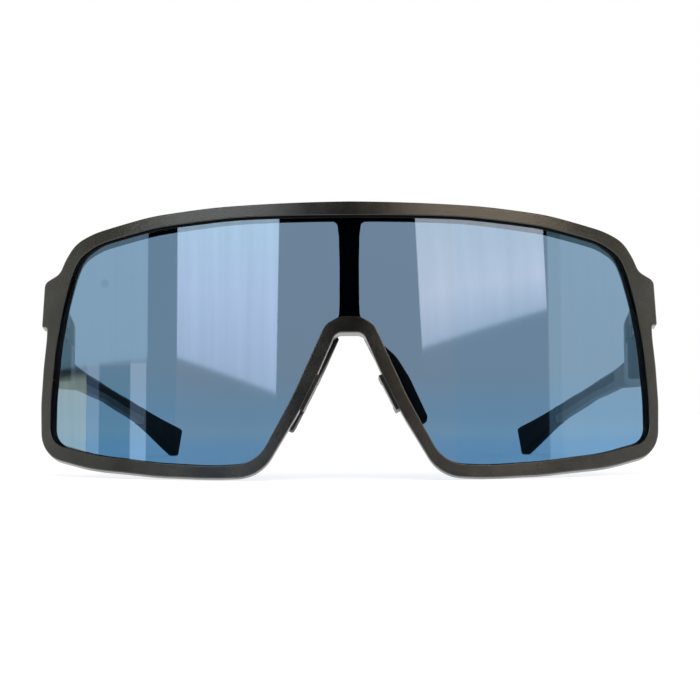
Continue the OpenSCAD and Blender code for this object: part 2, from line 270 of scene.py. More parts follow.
# ---------- wrap of the front ----------
WRAP_R = 100.0    # radius of the rim's front face
FLANGE_T = 1.1    # rim in front of the lens groove
LENS_T = 1.8
LENS_PLAY = 0.06  # how much wider than the lens its groove is
LENS_GAP = 0.05   # between the lens's edge and the bottom of the groove
RIM_T = 4.16      # whole depth of the rim
GROOVE = 1.23     # depth of the groove outside the aperture
BRIDGE_T = 6.0    # depth of the rim's wall over the nose
NOSE_WALL_V = (29.6, 30.6)  # heights between which that wall deepens
NOSE_WALL_X = (6.0, 7.0)    # distances from the middle between which it ends


def on_wrap(point, depth):
    """A point of a front outline, at a depth behind the rim's front face."""
    radius = WRAP_R - depth
    return place(point.x, WRAP_R - sqrt(radius * radius - point.x * point.x), point.y)


def quarter(steps):
    """Angles over a quarter turn."""
    return [pi / 2 * i / steps for i in range(steps + 1)]


def smooth(value, low, high):
    """0 below low, 1 above high, and an S-curve between them."""
    share = min(1.0, max(0.0, (value - low) / (high - low)))
    return share * share * (3 - 2 * share)


def over_nose(point):
    """Extra depth of the rim's wall over the nose."""
    return (BRIDGE_T - RIM_T) * smooth(point.y, *NOSE_WALL_V) * (1 - smooth(abs(point.x), *NOSE_WALL_X))


def build_rim():
    """The rim, and the range of its faces that look into the aperture."""
    outer = full_loop(RIM_OUTER, OUTER_MARKS)
    aperture = full_loop(APERTURE, INNER_MARKS)
    rear = full_loop(REAR_OPENING, INNER_MARKS)
    front_round, back_round, lip_round = 0.28, 0.4, 0.2
    rows = []

    def row(loop, depth, bridge=0.0):
        rows.append([on_wrap(p, depth + bridge * over_nose(p)) for p in loop])

    for w in quarter(5):
        row(moved(outer, -front_round * (1 - sin(w)) - HAIR), front_round * (1 - cos(w)))
    row(outer, RIM_T / 2)
    for w in quarter(5):
        row(moved(outer, -back_round * (1 - cos(w)) - HAIR), RIM_T - back_round * (1 - sin(w)), 1.0)
    rear_edge = moved(rear, lip_round)
    outer_edge = moved(outer, -back_round)
    # Share of the way from the edge to the opening, and how much of the nose wall's depth is left there
    for share, bridge in ((0.2, 1.0), (0.38, 0.95), (0.5, 0.0), (0.75, 0.0)):
        row([a.lerp(b, share) for a, b in zip(outer_edge, rear_edge)], RIM_T, bridge)
    inner_start = len(rows)
    for w in quarter(4):
        row(moved(rear, lip_round * (1 - sin(w)) + HAIR), RIM_T - lip_round * (1 - cos(w)))
    groove = moved(aperture, GROOVE)
    row(rear, FLANGE_T + LENS_T + LENS_PLAY)
    row(groove, FLANGE_T + LENS_T + LENS_PLAY)
    row(groove, FLANGE_T)
    row(aperture, FLANGE_T)
    inner_end = len(rows) - 1
    for w in quarter(4):
        row(moved(aperture, lip_round * (1 - cos(w)) + HAIR), lip_round * (1 - sin(w)))
    inner_edge = moved(aperture, lip_round)
    face_edge = moved(outer, -front_round)
    for share in (0.25, 0.5, 0.75):
        row([a.lerp(b, share) for a, b in zip(inner_edge, face_edge)], 0.0)
    rim = loft("rim", rows, wrap=True)
    radial_normals(rim)
    width = len(rows[0])
    return rim, range(inner_start * width, inner_end * width)


# A strip of painted shade along the lens's edge, for the shaded inner wall of the rim
SHADE_STRIP_W = 0.55
SHADE_STRIP_HIDDEN = 0.12  # share of its width that lies inside the rim
SHADE_STRIP_THIN = 0.1     # share of its width that is left low down
SHADE_STRIP_FADE = (40, 56)  # heights between which it widens
# Share of the width and depth of each corner of the shade strip's section
SHADE_STRIP_SECTION = ((0.0, 0.75), (0.6, 0.80), (0.93, 0.95), (1.0, 1.12), (0.0, 1.12))


def build_shade_strip():
    """A black strip of painted shade along the lens's edge, where the rim's inner wall is in shade: wide
    under the brow, thin lower down.
    """
    aperture = full_loop(APERTURE, INNER_MARKS)
    inner = moved(aperture, -SHADE_STRIP_W)
    rows = []
    for share, depth in SHADE_STRIP_SECTION:
        reach = [share * (SHADE_STRIP_THIN + (1 - SHADE_STRIP_THIN) * smooth(edge.y, *SHADE_STRIP_FADE)) - SHADE_STRIP_HIDDEN
                 for edge in aperture]
        rows.append([on_wrap(edge.lerp(far, r), depth) for edge, far, r in zip(aperture, inner, reach)])
    return loft("lens_edge_shade", rows, wrap=True)


# Height and half width of the rib, from the brow down to the arch
RIB = [(RIM_H - 4.1, 3.6), (RIM_H - 4.7, 2.85), (RIM_H - 5.3, 2.68), (56.0, 2.4), (49.0, 2.27),
       (41.0, 2.3), (ARCH_V + 1.0, 2.4), (ARCH_V - 0.2, 2.8)]


def build_rib():
    """The upright bar behind the middle of the lens, part of the rim's rear lip."""
    edge, steps = 0.25, 60
    front, back = RIM_T - 1.2, RIM_T
    overlap = 1.2
    top, low = RIB[0][0] + overlap, RIB[-1][0] - overlap
    rows = []
    for i in range(steps + 1):
        v = top + (low - top) * i / steps
        half = rib_width(v)
        section = [(-half, front), (half, front), (half, back - edge), (half - edge, back),
                   (edge - half, back), (-half, back - edge)]
        rows.append([on_wrap(Vector((x, v)), depth) for x, depth in section])
    rib = loft("rim_rib", rows, caps=True)
    rib.data.shade_flat()
    return rib


def rib_width(v):
    """Half the rib's width at a height."""
    if v >= RIB[0][0]:
        return RIB[0][1]
    for (v0, w0), (v1, w1) in zip(RIB, RIB[1:]):
        if v >= v1:
            return w1 + (w0 - w1) * smooth(v, v1, v0)
    return RIB[-1][1]


# ---------- slabs: a closed outline given a thickness, rounded edges and filled faces ----------
def inside(point, loop):
    """True where a 2-D point lies inside a closed loop."""
    hit = False
    for a, b in zip(loop, loop[1:] + loop[:1]):
        if (a.y > point.y) != (b.y > point.y):
            if point.x < a.x + (point.y - a.y) * (b.x - a.x) / (b.y - a.y):
                hit = not hit
    return hit


ROW_STEP = 0.87  # height of a row of even triangles
EDGE_GAP = 0.45  # nearest that a filling point comes to the edge, as a share of the spacing


def fill_loop(loop, spacing):
    """Even triangles inside a closed loop: (points, triangles, distance of each point from the edge)."""
    lo = Vector((min(p.x for p in loop), min(p.y for p in loop)))
    hi = Vector((max(p.x for p in loop), max(p.y for p in loop)))
    grid, depths = [], []
    rows = ceil((hi.y - lo.y) / (spacing * ROW_STEP))
    for r in range(rows + 1):
        columns = ceil((hi.x - lo.x) / spacing)
        for c in range(columns + 1):
            point = Vector((lo.x + (c + 0.5 * (r % 2)) * spacing, lo.y + r * spacing * ROW_STEP))
            if not inside(point, loop):
                continue
            depth = min((point - q).length for q in loop)
            if depth > EDGE_GAP * spacing:
                grid.append(point)
                depths.append(depth)
    edges = [(i, (i + 1) % len(loop)) for i in range(len(loop))]
    points, _, faces, *_ = geometry.delaunay_2d_cdt(loop + grid, edges, [], 1, 1e-5)
    assert len(points) == len(loop) + len(grid)
    return points, faces, [0.0] * len(loop) + depths


def slab(name, loop, surface, half, edge, spacing, crown=0.0, crown_reach=1.0):
    """A filled outline with thickness and rounded edges.

    surface(point, height) puts a point of the slab in the row frame, half is half its thickness,
    edge the radius of its edges and crown how far its faces bulge.
    """
    count = len(loop)
    vertices, faces = [], []
    levels = [(edge * (1 - sin(w)), half - edge * (1 - cos(w))) for w in quarter(4)]
    levels += [(inset, -height) for inset, height in reversed(levels)]
    for inset, height in levels:
        line = moved(loop, -inset - HAIR)
        vertices += [surface(p, height) for p in line]
    for level in range(len(levels) - 1):
        faces += band(level * count, (level + 1) * count, count)
    rim_line = moved(loop, -edge - HAIR)
    points, triangles, depths = fill_loop(rim_line, spacing)
    for sign, first_edge in ((1, 0), (-1, (len(levels) - 1) * count)):
        first_inner = len(vertices)
        for point, depth in list(zip(points, depths))[count:]:
            rise = crown * (1 - exp(-depth / crown_reach))
            vertices.append(surface(point, sign * (half + rise)))
        for triangle in triangles:
            corners = [first_edge + i if i < count else first_inner + i - count for i in triangle]
            faces.append(tuple(corners) if sign > 0 else tuple(reversed(corners)))
    return mesh_object(name, vertices, faces)


def build_lens():
    """The wrapped sheet, held in the rim's groove."""
    outline = moved(full_loop(APERTURE, INNER_MARKS)[::2], GROOVE - LENS_GAP)
    middle = FLANGE_T + LENS_PLAY / 2 + LENS_T / 2

    def surface(point, height):
        return on_wrap(point, middle - height)

    lens = slab("lens_sheet", outline, surface, LENS_T / 2, edge=0.25, spacing=3.0)
    radial_normals(lens)
    return lens


AUTOMATIC = Vector((0, 0, 0))  # leaves a corner's normal to the mesh
FACE_ON = 0.99                 # how squarely a face has to lie on the wrap to get its normal


def radial_normals(piece):
    """Gives the curved faces the exact normals of the wrap, so that they shade and mirror cleanly."""
    axis_point = place(0, WRAP_R, 0)
    data = piece.data
    normals = []
    for polygon in data.polygons:
        for index in polygon.vertices:
            out = data.vertices[index].co - axis_point
            out = (out - UP * out.dot(UP)).normalized()
            facing = polygon.normal.dot(out)
            exact = out * (1 if facing > 0 else -1)
            normals.append(exact if abs(facing) > FACE_ON else AUTOMATIC)
    data.normals_split_custom_set([tuple(n) for n in normals])


# ---------- temples ----------
BOW_R = 265.0      # radius of the arm's inward bow, seen from above
BOW_Y = 45.0       # depth at which the bow starts
ARM_T = 2.6        # thickness of the arm
ROOT_EXTRA = 1.1   # how much thicker it is at the hinge
ROOT_TAPER = (50.0, 78.0)  # depths between which that runs out
ARM_FRONT = 41.8
SHOULDER_Y = 46.9  # front face of the arm beside the hinge
SHOULDER_ROUND = 0.8
STEP_V = 37.9      # height of the step under the hinge
GRIP_Y = 128.0     # where the rubber sleeve starts
TIP_TOP = 152.5    # where the upper edge ends
TIP_LOW = 150.1    # where the lower edge ends
TIP_ROUND = 1.6
BOSS_T = 1.5       # how far the hinge boss stands in
BOSS_END = (50.5, 53)    # depths between which it ends
BOSS_TOP = (42.5, 47.2)  # heights between which it ends
ARM_TOP = Path([
    (SHOULDER_Y, 48.5, 0), (49.4, 46.6, 3), (53.5, 37.8, 8), (60, 35.6, 20), (92, 35.7, 150),
    (118, 34.4, 100), (TIP_TOP, 30.5, 0),
])
ARM_LOW = Path([
    (ARM_FRONT, 28.1, 0), (56, 28.2, 30), (77, 30.9, 60), (101, 31.5, 60), (129, 29.3, 80),
    (TIP_LOW, 22.45, 0),
])


def height_at(path, y):
    """Height of a side outline at depth y."""
    for a, b in zip(path.points, path.points[1:]):
        if a.x <= y <= b.x:
            return a.y + (b.y - a.y) * (y - a.x) / (b.x - a.x)
    return path.points[0].y if y < path.points[0].x else path.points[-1].y


def inner_x(y):
    """Inner face of the arm at depth y."""
    back = max(0.0, y - BOW_Y)
    return HALF_W - 5 - (BOW_R - sqrt(BOW_R * BOW_R - back * back))


def thick(y):
    """Thickness of the arm at depth y."""
    start, end = ROOT_TAPER
    return ARM_T + ROOT_EXTRA * (1 - min(1.0, max(0.0, (y - start) / (end - start))))


def boss(y, v):
    """How far the hinge boss stands in from the temple's inner face."""
    return BOSS_T * (1 - smooth(y, *BOSS_END)) * (1 - smooth(v, *BOSS_TOP))


def rounded_box(half_t, half_h, edge, tall_steps=12, flat_steps=3):
    """A rounded rectangle as (across, up) offsets from its middle, clockwise from its upper left corner."""
    corners = ((-1, 1, pi), (1, 1, pi / 2), (1, -1, 0.0), (-1, -1, -pi / 2))
    arcs = []
    for sx, sy, start in corners:
        cx, cy = sx * (half_t - edge), sy * (half_h - edge)
        arcs.append([Vector((cx + edge * cos(start - w), cy + edge * sin(start - w)))
                     for w in quarter(4)])
    loop = []
    for k, arc in enumerate(arcs):
        steps = tall_steps if k % 2 else flat_steps
        loop += arc
        loop += [arc[-1].lerp(arcs[(k + 1) % 4][0], i / steps) for i in range(1, steps)]
    return loop


def arm_top(y):
    """Upper edge of the temple, with its step up to the hinge shoulder and its rounded tip."""
    if y < SHOULDER_Y:
        return STEP_V
    shoulder_in = SHOULDER_ROUND - min(SHOULDER_ROUND, y - SHOULDER_Y)
    tip_in = max(0.0, y - TIP_TOP + TIP_ROUND)
    shoulder_drop = SHOULDER_ROUND - sqrt(SHOULDER_ROUND ** 2 - shoulder_in ** 2)
    tip_drop = TIP_ROUND - sqrt(max(0.0, TIP_ROUND ** 2 - tip_in ** 2))
    return height_at(ARM_TOP, y) - shoulder_drop - tip_drop


def arm_row(side, y, inset, shift, edge=0.55, low_y=None):
    """One section of the temple at depth y. inset shrinks it, shift pushes it back, low_y slants it."""
    low_y = y if low_y is None else low_y
    top_v, low_v = arm_top(y + shift), height_at(ARM_LOW, low_y)
    half_t, half_h = thick(y) / 2 - inset, (top_v - low_v) / 2 - inset
    full_h = (top_v - low_v) / 2
    row = []
    for offset in rounded_box(half_t, half_h, min(edge, 0.9 * half_t)):
        share = 0.5 + offset.y / (2 * full_h)
        depth = low_y + (y - low_y) * share
        v = low_v + (top_v - low_v) * share
        x = inner_x(depth) + thick(depth) / 2 + offset.x
        if offset.x < 0:
            x -= boss(depth, v) * min(1.0, -offset.x / half_t)
        row.append(place(side * x, depth + shift, v))
    return row


def steps_between(start, end, spacing):
    """Even steps from start to end, at most spacing apart."""
    count = max(1, ceil((end - start) / spacing))
    return [start + (end - start) * i / count for i in range(count + 1)]


def build_arm(side):
    """The plastic arm from its rounded front end to the sleeve, with rows close together at the shoulder."""
    edge = 0.5
    rows = []
    for w in quarter(4):
        rows.append(arm_row(side, ARM_FRONT + edge * (1 - cos(w)), edge * (1 - sin(w)), 0.0))
    depths = steps_between(ARM_FRONT + edge + 0.3, SHOULDER_Y - 0.05, 0.8)
    depths += [SHOULDER_Y + 0.02 + SHOULDER_ROUND * i / 6 for i in range(7)]
    depths += steps_between(SHOULDER_Y + 1.4, 62, 1.0)
    depths += steps_between(63.5, GRIP_Y - 0.02, 1.5)
    rows += [arm_row(side, y, 0.0, 0.0) for y in depths]
    return loft("temple_arm_" + SIDE_NAME[side], rows, caps=True)


def build_sleeve(side):
    """The rubber sleeve over the end of the temple, a little proud of the arm."""
    proud, lip, cap, edge = 0.1, 0.35, 0.9, 0.75
    rows = []
    for w in quarter(4):
        rows.append(arm_row(side, GRIP_Y + lip * (1 - cos(w)), lip * (1 - sin(w)) - proud, 0.0))
    length = TIP_TOP - cap - GRIP_Y
    for y in steps_between(GRIP_Y + lip + 0.5, TIP_TOP - cap, 1.2):
        share = (y - GRIP_Y) / length
        rows.append(arm_row(side, y, -proud, 0.0, edge, y - (TIP_TOP - TIP_LOW) * share))
    for w in quarter(5)[1:]:
        inset = cap * (1 - cos(w)) - proud
        shift = 0.98 * cap * sin(w)
        rows.append(arm_row(side, TIP_TOP - cap, inset, shift, edge, TIP_LOW - cap))
    return loft("ear_sleeve_" + SIDE_NAME[side], rows, caps=True)


def rounded_loop(corners):
    """A closed clockwise loop from corners (x, y, radius)."""
    flat = [Vector(c[:2]) for c in corners]
    count = len(flat)
    loop = []
    for i in range(count):
        loop += corner_points(flat[i - 1], flat[i], flat[(i + 1) % count], corners[i][2])
    return loop


def evenly(loop, spacing):
    """The loop with points at most spacing apart."""
    out = []
    for a, b in zip(loop, loop[1:] + loop[:1]):
        count = max(1, ceil((b - a).length / spacing))
        out += [a.lerp(b, i / count) for i in range(count)]
    return out


def build_inlay(side):
    """The rubber strip let into the inner face of the temple."""
    loop = evenly(rounded_loop([
        (76.5, 35.0, 1.2), (101, 34.7, 150), (GRIP_Y - 0.1, 33.2, 0.3), (GRIP_Y - 0.1, 30.9, 0.3),
        (101, 33.0, 150), (76.5, 32.7, 1.2),
    ]), 0.8)
    half, sunk = 0.48, 0.3

    def surface(point, height):
        return place(side * (inner_x(point.x) + sunk - height), point.x, point.y)

    return slab("ear_inlay_" + SIDE_NAME[side], loop, surface, half, edge=0.22, spacing=1.2)


# ---------- hinge plates ----------
KNUCKLE_R = 2.1
ROOT_Y = HINGE[1] - KNUCKLE_R - 0.2  # back of the end piece
END_FRONT = 36.0                     # its front, inside the rim's lug
EARS = {"low": (38.6, 41.6, 1.23), "high": (46.0, 49.0, 1.3)}  # bottom, top and bore of the knuckles
TONGUE = (41.96, 45.64, 1.18)
PLAN = (ACROSS, BACK, UP)
FACE = (ACROSS, UP, -BACK)


def on_circle(x, y, radius, angle):
    return Vector((x + radius * cos(angle), y + radius * sin(angle)))


def disc(x, y, radius, steps=32):
    return [on_circle(x, y, radius, 2 * pi * i / steps) for i in range(steps)]


def on_side(side, outlines):
    """Outlines drawn for the left side, mirrored for the right."""
    return [[Vector((side * p.x, p.y)) for p in line] for line in outlines]


def plate(name, outlines, axes, low, high, edge):
    """A plate with rounded edges, from low to high along axes[2].

    Its outlines, the first outside and the rest holes, are drawn along axes[0] and axes[1].
    """
    curve = bpy.data.curves.new(name, "CURVE")
    curve.dimensions = "2D"
    curve.fill_mode = "BOTH"
    curve.extrude = (high - low) / 2 - edge
    curve.bevel_depth = edge
    curve.bevel_resolution = 2
    curve.offset = -edge
    for outline in outlines:
        spline = curve.splines.new("POLY")
        spline.points.add(len(outline) - 1)
        for point, place_at in zip(spline.points, outline):
            point.co = (place_at.x, place_at.y, 0, 1)
        spline.use_cyclic_u = True
    holder = add_object(name, curve)
    bpy.context.view_layer.update()
    data = bpy.data.meshes.new_from_object(holder.evaluated_get(bpy.context.evaluated_depsgraph_get()))
    bpy.data.objects.remove(holder)
    data.name = name
    middle = (low + high) / 2
    for vertex in data.vertices:
        co = vertex.co
        vertex.co = ORIGIN + MM * (co.x * axes[0] + co.y * axes[1] + (co.z + middle) * axes[2])
    face_outwards(data, weld=1e-6)
    data.set_sharp_from_angle(angle=radians(35))
    return add_object(name, data)


def build_ear(side, label):
    """One of the two knuckles on the rim's end piece."""
    low, high, bore = EARS[label]
    x, y, r = HINGE[0], HINGE[1], KNUCKLE_R
    front = ROOT_Y - 1.2
    outline = [Vector((x - r, front)), Vector((x + r, front)), Vector((x + r, y + r))]
    outline += [on_circle(x, y, r, pi / 2 + w) for w in quarter(10)]
    outlines = on_side(side, [outline, disc(x, y, bore)])
    return plate(f"hinge_ear_{label}_{SIDE_NAME[side]}", outlines, PLAN, low, high, edge=0.25)


def build_tongue(side):
    """The temple's knuckle, between the two ears."""
    low, high, bore = TONGUE
    x, y, r = HINGE[0], HINGE[1], KNUCKLE_R
    back = SHOULDER_Y + 1
    outline = [on_circle(x, y, r, pi + 2 * w) for w in quarter(16)]
    outline += [Vector((x + r, back)), Vector((x - r, back))]
    outlines = on_side(side, [outline, disc(x, y, bore)])
    return plate(f"hinge_tongue_{SIDE_NAME[side]}", outlines, PLAN, low, high, edge=0.2)


def build_end_piece(side):
    """The block behind the rim's lug that carries the knuckles."""
    inner, foot = 69.6, EARS["low"][0]
    outline = rounded_loop([
        (inner, 51.6, 0.7), (71.0, 51.7, 2), (HALF_W - 0.9, LUG_TOP - 0.1, 0.9),
        (HALF_W - 0.2, LUG_LOW + 2.0, 0.4), (HALF_W - 1.8, LUG_LOW + 1.9, 0.4), (HALF_W - 1.8, foot, 0.5),
        (inner, foot, 0.5),
    ])
    name = "end_piece_" + SIDE_NAME[side]
    return plate(name, on_side(side, [outline]), FACE, -ROOT_Y, -END_FRONT, edge=0.45)


# ---------- nose pads ----------
LEG_TILT = radians(26.6)
LEG_AT = (9.4, 19.4)  # a point on the wall of the nose opening: across and up
PIN_AT = (0.95, 6.9)  # the pad's pivot: away from the wall and back
PAD_SWING = {LEFT: radians(44), RIGHT: 0.0}
PAD_FOOT = -9.3
PAD_HEAD = PAD_FOOT + 24.8
PAD_HALF = 0.87       # half the leaf's thickness
PAD_OFFSET = 0.35     # from the pin to the middle of the leaf
SLOT_V = 4.9          # half height of the slot for the clip's barrel


def leg_place(side, a, b, c):
    """A point beside one leg of the nose opening: a away from the wall, b back, c up the leg."""
    x = LEG_AT[0] + a * cos(LEG_TILT) - c * sin(LEG_TILT)
    v = LEG_AT[1] + a * sin(LEG_TILT) + c * cos(LEG_TILT)
    return place(side * x, b, v)


def build_pad(side):
    """The soft leaf of a nose pad, swung about its pin, with a slot for the clip."""
    swing = PAD_SWING[side]
    near, slot = 0.3, 2.6
    loop = evenly(rounded_loop([
        (near, PAD_HEAD - 0.5, 1.0), (1.9, PAD_HEAD, 1.2), (6.8, PAD_HEAD - 7.5, 6),
        (7.6, PAD_HEAD - 13.5, 12), (7, PAD_FOOT + 1.2, 1.3), (5.6, PAD_FOOT, 1.3), (near, PAD_FOOT, 1.1),
        (near, -SLOT_V, 0.9), (slot, -SLOT_V, 0.6), (slot, SLOT_V, 0.6), (near, SLOT_V, 0.9),
    ]), 0.3)

    def surface(point, height):
        a, b = height - PAD_OFFSET, point.x
        swung_a = PIN_AT[0] + a * cos(swing) + b * sin(swing)
        swung_b = PIN_AT[1] - a * sin(swing) + b * cos(swing)
        return leg_place(side, swung_a, swung_b, point.y)

    return slab("pad_leaf_" + SIDE_NAME[side], loop, surface, PAD_HALF, edge=0.6, spacing=0.6,
                crown=0.12, crown_reach=1.2)


# ---------- materials ----------
def srgb(r, g, b):
    """Linear colour from 0-255 display values."""
    def channel(value):
        value /= 255
        return value / 12.92 if value <= 0.04045 else ((value + 0.055) / 1.055) ** 2.4
    return (channel(r), channel(g), channel(b), 1.0)


WHITE = (1.0, 1.0, 1.0, 1.0)


class Nodes:
    """A short way to build a tree of shader nodes; an input given as a socket is linked."""

    def __init__(self, tree):
        self.tree = tree
        tree.nodes.clear()

    def add(self, kind, inputs=None, **settings):
        node = self.tree.nodes.new("ShaderNode" + kind)
        for key, value in settings.items():
            setattr(node, key, value)
        for key, value in (inputs or {}).items():
            if isinstance(value, bpy.types.NodeSocket):
                self.tree.links.new(value, node.inputs[key])
            else:
                node.inputs[key].default_value = value
        return node

    def math(self, operation, *values, **settings):
        return self.add("Math", dict(enumerate(values)), operation=operation, **settings).outputs[0]

    def span(self, value, low, high, to_low=0.0, to_high=1.0, kind="LINEAR"):
        """value, carried over from the range low to high to the range to_low to to_high."""
        ends = {"From Min": low, "From Max": high, "To Min": to_low, "To Max": to_high}
        return self.add("MapRange", {"Value": value, **ends}, interpolation_type=kind).outputs["Result"]

    def mix(self, a, b, factor=1.0, **settings):
        """Colour a, turned into b by a factor, or blended with it in another way."""
        inputs = {"Factor": factor, "A": a, "B": b}
        return self.add("Mix", inputs, data_type="RGBA", **settings).outputs["Result"]

    def noise(self, where, scale, detail=2.0, roughness=0.5):
        inputs = {"Vector": where, "Scale": scale, "Detail": detail, "Roughness": roughness}
        return self.add("TexNoise", inputs).outputs["Fac"]

    def axes(self, vector):
        return self.add("SeparateXYZ", {"Vector": vector}).outputs


def new_material(name):
    material = bpy.data.materials.new(name)
    material.use_nodes = True
    return material, Nodes(material.node_tree)


CLOUD_SCALE = 90.0  # broad unevenness of a moulded surface


def grained(name, dark, light, rough, grain_size, bump, specular=0.5, painted_light=(), inner_only=False):
    """Moulded plastic or rubber: two close tones, a fine grain in the surface, uneven gloss.

    rough is the roughness, grain_size the grain in millimetres and bump the strength of its relief.
    painted_light is a list of (axis, from, to, colour) of painted light and shade: colour is added as the
    object coordinate along the axis goes from one value to the other, in metres; the X axis counts both ways
    from the middle. With inner_only, the painted light stays off the faces that look away from the middle.
    """
    material, n = new_material(name)
    coordinates = n.add("TexCoord").outputs
    where = coordinates["Object"]
    cloud = n.noise(where, CLOUD_SCALE, 4.0, 0.55)
    grain = n.noise(where, 1 / (grain_size * MM), 3.0)
    pits = n.add("TexVoronoi", {"Vector": where, "Scale": 0.7 / (grain_size * MM)}).outputs["Distance"]
    tone = n.span(cloud, 0.35, 0.65)
    speck = n.span(grain, 0.3, 0.7, -0.18, 0.18)
    base = n.mix(dark, light, n.math("ADD", tone, speck, use_clamp=True))
    signed = n.axes(where)
    unsigned = n.axes(n.add("VectorMath", {0: where}, operation="ABSOLUTE").outputs[0])
    facing = n.axes(coordinates["Normal"])
    outward = n.math("MULTIPLY", facing["X"], n.math("SIGN", signed["X"]))
    inner = n.span(outward, 0.6, 0.1)
    # each entry adds painted light or shade along one axis
    for axis, start, end, extra in painted_light:
        along = signed["Y"] if axis == "Y" else unsigned[axis]
        share = n.span(along, start, end, kind="SMOOTHSTEP")
        if inner_only:
            share = n.math("MULTIPLY", share, inner)
        base = n.mix(base, extra, share, blend_type="ADD")
    gloss = n.span(cloud, 0.3, 0.7, rough - 0.05, rough + 0.05)
    height = n.math("ADD", grain, pits)
    relief = n.add("Bump", {"Height": height, "Strength": bump, "Distance": 0.2 * grain_size * MM})
    shader = n.add("BsdfPrincipled", {"Base Color": base, "Roughness": gloss, "Specular IOR Level": specular,
                                      "Normal": relief.outputs["Normal"]})
    n.add("OutputMaterial", {"Surface": shader.outputs[0]})
    return material


def metal(name, colour, rough, brush):
    """Turned or drawn metal with fine brush lines."""
    material, n = new_material(name)
    where = n.add("TexCoord").outputs["Object"]
    stretch = n.add("Mapping", {"Vector": where, "Scale": (1.0, 1.0, 12.0)}).outputs[0]
    lines = n.noise(stretch, brush, 3.0)
    gloss = n.span(lines, 0.0, 1.0, rough - 0.08, rough + 0.1)
    darker = tuple(0.72 * c for c in colour[:3]) + (1.0,)
    shade = n.mix(colour, darker, lines)
    relief = n.add("Bump", {"Height": lines, "Strength": 0.15, "Distance": 0.00002})
    shader = n.add("BsdfPrincipled", {"Base Color": shade, "Metallic": 1.0, "Roughness": gloss,
                                      "Normal": relief.outputs["Normal"]})
    n.add("OutputMaterial", {"Surface": shader.outputs[0]})
    return material


LENS_TINT = (0.458, 0.564, 0.668, 1)
# Deeper tints towards the lower edge: height where each starts, height where it is full, tint
LOWER_TINTS = ((26, 14, (0.425, 0.580, 0.716, 1)), (12, 7, (0.368, 0.547, 0.718, 1)))
# Upright bands of painted reflection, in millimetres: from x, to x, top, fade below the top, tint factor
LENS_REFLECTION_BANDS = [
    (47.3, 80.0, 90.0, 1.0, (1.09, 1.08, 1.06, 1)),
    (25.0, 46.4, 90.0, 1.0, (0.96, 1.0, 1.015, 1)),
    (-48.0, -40.9, 90.0, 1.0, (0.92, 0.98, 1.0, 1)),
    (-52.0, -48.1, 27.6, 0.8, (1.17, 1.14, 1.11, 1)),
    (-59.85, -52.15, 27.2, 1.0, (0.85, 0.95, 0.97, 1)),
    (-63.1, -59.85, 27.6, 0.8, (1.08, 1.065, 1.03, 1)),
    (-80.0, -63.1, 24.6, 1.6, (1.06, 0.98, 0.93, 1)),
]
MARK_AT = Vector((-58.75, 0.0, 46.3)) * MM  # a small round print on the lens
MARK_EDGE = (1.15, 0.9)                     # where it begins to show, and where it is full
MARK_TINT = (0.87, 0.91, 0.945, 1)
MIRROR_SHARE = 0.30


def lens_material():
    """A blue-grey see-through tint under a blue mirror coating, on the outer faces of the sheet, with
    upright bands of painted reflection in the tint.
    """
    material, n = new_material("lens_coating")
    where = n.add("TexCoord").outputs["Object"]
    part = n.axes(where)

    def below(top, bottom):
        return n.span(part["Z"], top * MM, bottom * MM, kind="SMOOTHSTEP")

    tint = LENS_TINT
    for top, bottom, colour in LOWER_TINTS:
        tint = n.mix(tint, colour, below(top, bottom))
    for left, right, top, fade, factor in LENS_REFLECTION_BANDS:
        across = n.math("COMPARE", part["X"], (left + right) / 2 * MM, (right - left) / 2 * MM)
        share = n.math("MULTIPLY", across, below(top, top - fade))
        tint = n.mix(tint, n.mix(WHITE, factor, share), blend_type="MULTIPLY")
    flat = n.add("CombineXYZ", {"X": part["X"], "Z": part["Z"]}).outputs[0]
    away = n.add("VectorMath", {0: flat, 1: MARK_AT}, operation="DISTANCE").outputs["Value"]
    mark = n.span(away, MARK_EDGE[0] * MM, MARK_EDGE[1] * MM)
    tint = n.mix(tint, n.mix(tint, MARK_TINT, blend_type="MULTIPLY"), mark)
    vary = n.span(n.noise(where, 25.0), 0.0, 1.0, 0.97, 1.03)
    tinted = n.add("VectorMath", {0: tint, "Scale": vary}, operation="SCALE").outputs[0]
    clear = n.add("BsdfTransparent", {"Color": tinted}).outputs[0]
    mirror = n.add("BsdfGlossy", {"Color": (0.80, 0.90, 1.0, 1), "Roughness": 0.03}).outputs[0]
    outside = n.math("SUBTRACT", 1.0, n.add("NewGeometry").outputs["Backfacing"])
    strength = n.math("MULTIPLY", outside, MIRROR_SHARE)
    both = n.add("MixShader", {0: strength, 1: clear, 2: mirror})
    n.add("OutputMaterial", {"Surface": both.outputs[0]})
    return material


# Painted light on the rim: a faint blue added towards the bottom, and a warm lightening towards the sides,
# where the side light falls
RIM_MATT = grained("rim_matt", srgb(13, 14, 14), srgb(25, 25, 24), 0.25, 0.16, 0.4, specular=0.6, painted_light=[
    ("Z", 0.026, 0.006, (0.000, 0.001, 0.003, 1)),
    ("X", 0.030, 0.062, (0.016, 0.0135, 0.0085, 1)),
])
# Painted light on the arms: the inner faces are made lighter and warmer towards the hinge, standing in for
# the light that falls on them there
ARM_MATT = grained("arm_matt", srgb(14, 14, 15), srgb(24, 24, 25), 0.38, 0.16, 0.3, specular=0.3, painted_light=[
    ("Y", -0.010, -0.024, (0.10, 0.095, 0.083, 1)),
], inner_only=True)
RUBBER = grained("soft_rubber", srgb(5, 5, 6), srgb(10, 10, 11), 0.62, 0.12, 0.3, specular=0.12)
PAD_RUBBER = grained("pad_rubber", srgb(5, 5, 6), srgb(10, 10, 11), 0.5, 0.1, 0.2, specular=0.2)
